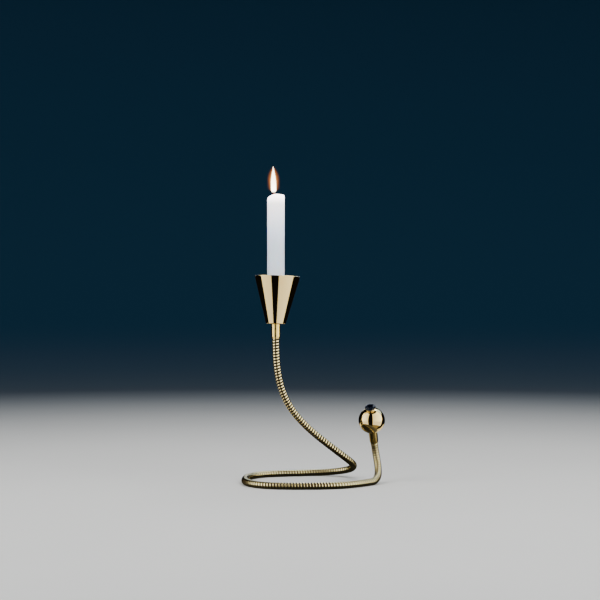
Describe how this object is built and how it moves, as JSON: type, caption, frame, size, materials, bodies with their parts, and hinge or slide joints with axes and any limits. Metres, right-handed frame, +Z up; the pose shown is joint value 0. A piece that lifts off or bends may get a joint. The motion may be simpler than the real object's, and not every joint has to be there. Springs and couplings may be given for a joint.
{
  "type": "flexible candlestick",
  "caption": "Flexible ribbed brass candlestick: a neck coiled into a loop foot rises to a conical cup with a lit taper candle, its other end to a ball topped by a dark stone.",
  "frame": {"origin": "on the table, under the middle of the whole object's box", "axes": "+Z up along the candle, -Y towards the viewer of the picture, +X to the viewer's right, where the ball stands"},
  "size_m": [0.1793, 0.1404, 0.397],
  "materials": {
    "polished_brass": "polished",
    "neck_brass": "gloss",
    "plated_steel": "satin",
    "spring_steel": "satin",
    "wax": "satin",
    "wick_cotton": "matte",
    "flame": "matte",
    "dark_stone": "polished"
  },
  "bodies": {
    "root": {"neck_winding_06": "neck_brass", "neck_core_06": "spring_steel"},
    "loop_left": {"neck_winding_05": "neck_brass", "neck_core_05": "spring_steel"},
    "loop_front": {"neck_winding_04": "neck_brass", "neck_core_04": "spring_steel"},
    "tail_low": {"neck_winding_03": "neck_brass", "neck_core_03": "spring_steel"},
    "tail_mid": {"neck_winding_02": "neck_brass", "neck_core_02": "spring_steel"},
    "tail_tip": {"neck_winding_01": "neck_brass", "neck_core_01": "spring_steel", "tail_ferrule": "polished_brass", "ball": "polished_brass", "stone_collet": "polished_brass", "stone": "dark_stone"},
    "neck_1": {"neck_winding_07": "neck_brass", "neck_core_07": "spring_steel"},
    "neck_2": {"neck_winding_08": "neck_brass", "neck_core_08": "spring_steel"},
    "neck_3": {"neck_winding_09": "neck_brass", "neck_core_09": "spring_steel"},
    "neck_4": {"neck_winding_10": "neck_brass", "neck_core_10": "spring_steel"},
    "neck_5": {"neck_winding_11": "neck_brass", "neck_core_11": "spring_steel"},
    "neck_6": {"neck_winding_12": "neck_brass", "neck_core_12": "spring_steel"},
    "neck_7": {"neck_winding_13": "neck_brass", "neck_core_13": "spring_steel"},
    "cup_head": {"neck_winding_14": "neck_brass", "neck_core_14": "spring_steel", "top_ferrule": "polished_brass", "cup_shell": "polished_brass", "cup_washer": "plated_steel", "cup_nut": "plated_steel", "drip_pan": "polished_brass", "socket_sleeve": "polished_brass"},
    "candle": {"candle": "wax", "wick": "wick_cotton", "flame": "flame"}
  },
  "joints": [
    {"name": "loop_bend_1", "type": "hinge", "parent": "root", "child": "loop_left", "pos_m": [-0.08498, -0.0055, 0.0041], "axis": [0, 0, -1], "range_deg": [-8, 18]},
    {"name": "loop_bend_2", "type": "hinge", "parent": "loop_left", "child": "loop_front", "pos_m": [-0.01038, -0.06558, 0.0041], "axis": [0, 0, -1], "range_deg": [-8, 18]},
    {"name": "tail_bend_1", "type": "hinge", "parent": "loop_front", "child": "tail_low", "pos_m": [0.07856, -0.01578, 0.00627], "axis": [0.9212, -0.389, 0], "range_deg": [-8, 18]},
    {"name": "tail_bend_2", "type": "hinge", "parent": "tail_low", "child": "tail_mid", "pos_m": [0.08213, 0.00204, 0.01719], "axis": [0.0188, -0.7315, 0.6816], "range_deg": [-18, 18]},
    {"name": "tail_bend_3", "type": "hinge", "parent": "tail_mid", "child": "tail_tip", "pos_m": [0.07945, 0.00899, 0.0367], "axis": [-0.9852, 0.0175, -0.1702], "range_deg": [-18, 18]},
    {"name": "neck_bend_1", "type": "hinge", "parent": "root", "child": "neck_1", "pos_m": [0.05234, 0.03383, 0.01775], "axis": [-0.9919, 0.1267, 0], "range_deg": [-18, 18]},
    {"name": "neck_bend_2", "type": "hinge", "parent": "neck_1", "child": "neck_2", "pos_m": [0.03781, 0.0151, 0.03223], "axis": [-0.5367, -0.2135, -0.8163], "range_deg": [-18, 18]},
    {"name": "neck_bend_3", "type": "hinge", "parent": "neck_2", "child": "neck_3", "pos_m": [0.01591, 0.00822, 0.04946], "axis": [-0.2592, 0.9615, -0.091], "range_deg": [-18, 18]},
    {"name": "neck_bend_4", "type": "hinge", "parent": "neck_3", "child": "neck_4", "pos_m": [-0.0058, 0.0042, 0.06786], "axis": [-0.6345, -0.2524, -0.7306], "range_deg": [-18, 18]},
    {"name": "neck_bend_5", "type": "hinge", "parent": "neck_4", "child": "neck_5", "pos_m": [-0.02456, -0.001, 0.08896], "axis": [-0.3542, 0.9349, -0.0218], "range_deg": [-18, 18]},
    {"name": "neck_bend_6", "type": "hinge", "parent": "neck_5", "child": "neck_6", "pos_m": [-0.03774, -0.00662, 0.11379], "axis": [-0.8591, -0.3418, -0.381], "range_deg": [-18, 18]},
    {"name": "neck_bend_7", "type": "hinge", "parent": "neck_6", "child": "neck_7", "pos_m": [-0.04427, -0.01081, 0.14142], "axis": [-0.3766, 0.9251, 0.0486], "range_deg": [-18, 18]},
    {"name": "neck_bend_8", "type": "hinge", "parent": "neck_7", "child": "cup_head", "pos_m": [-0.04606, -0.01241, 0.16284], "axis": [-0.9277, -0.3691, -0.0554], "range_deg": [-18, 18]},
    {"name": "candle_lift", "type": "slide", "parent": "cup_head", "child": "candle", "axis": [0, 0, 1], "range_m": [0, 0.035]}
  ]
}
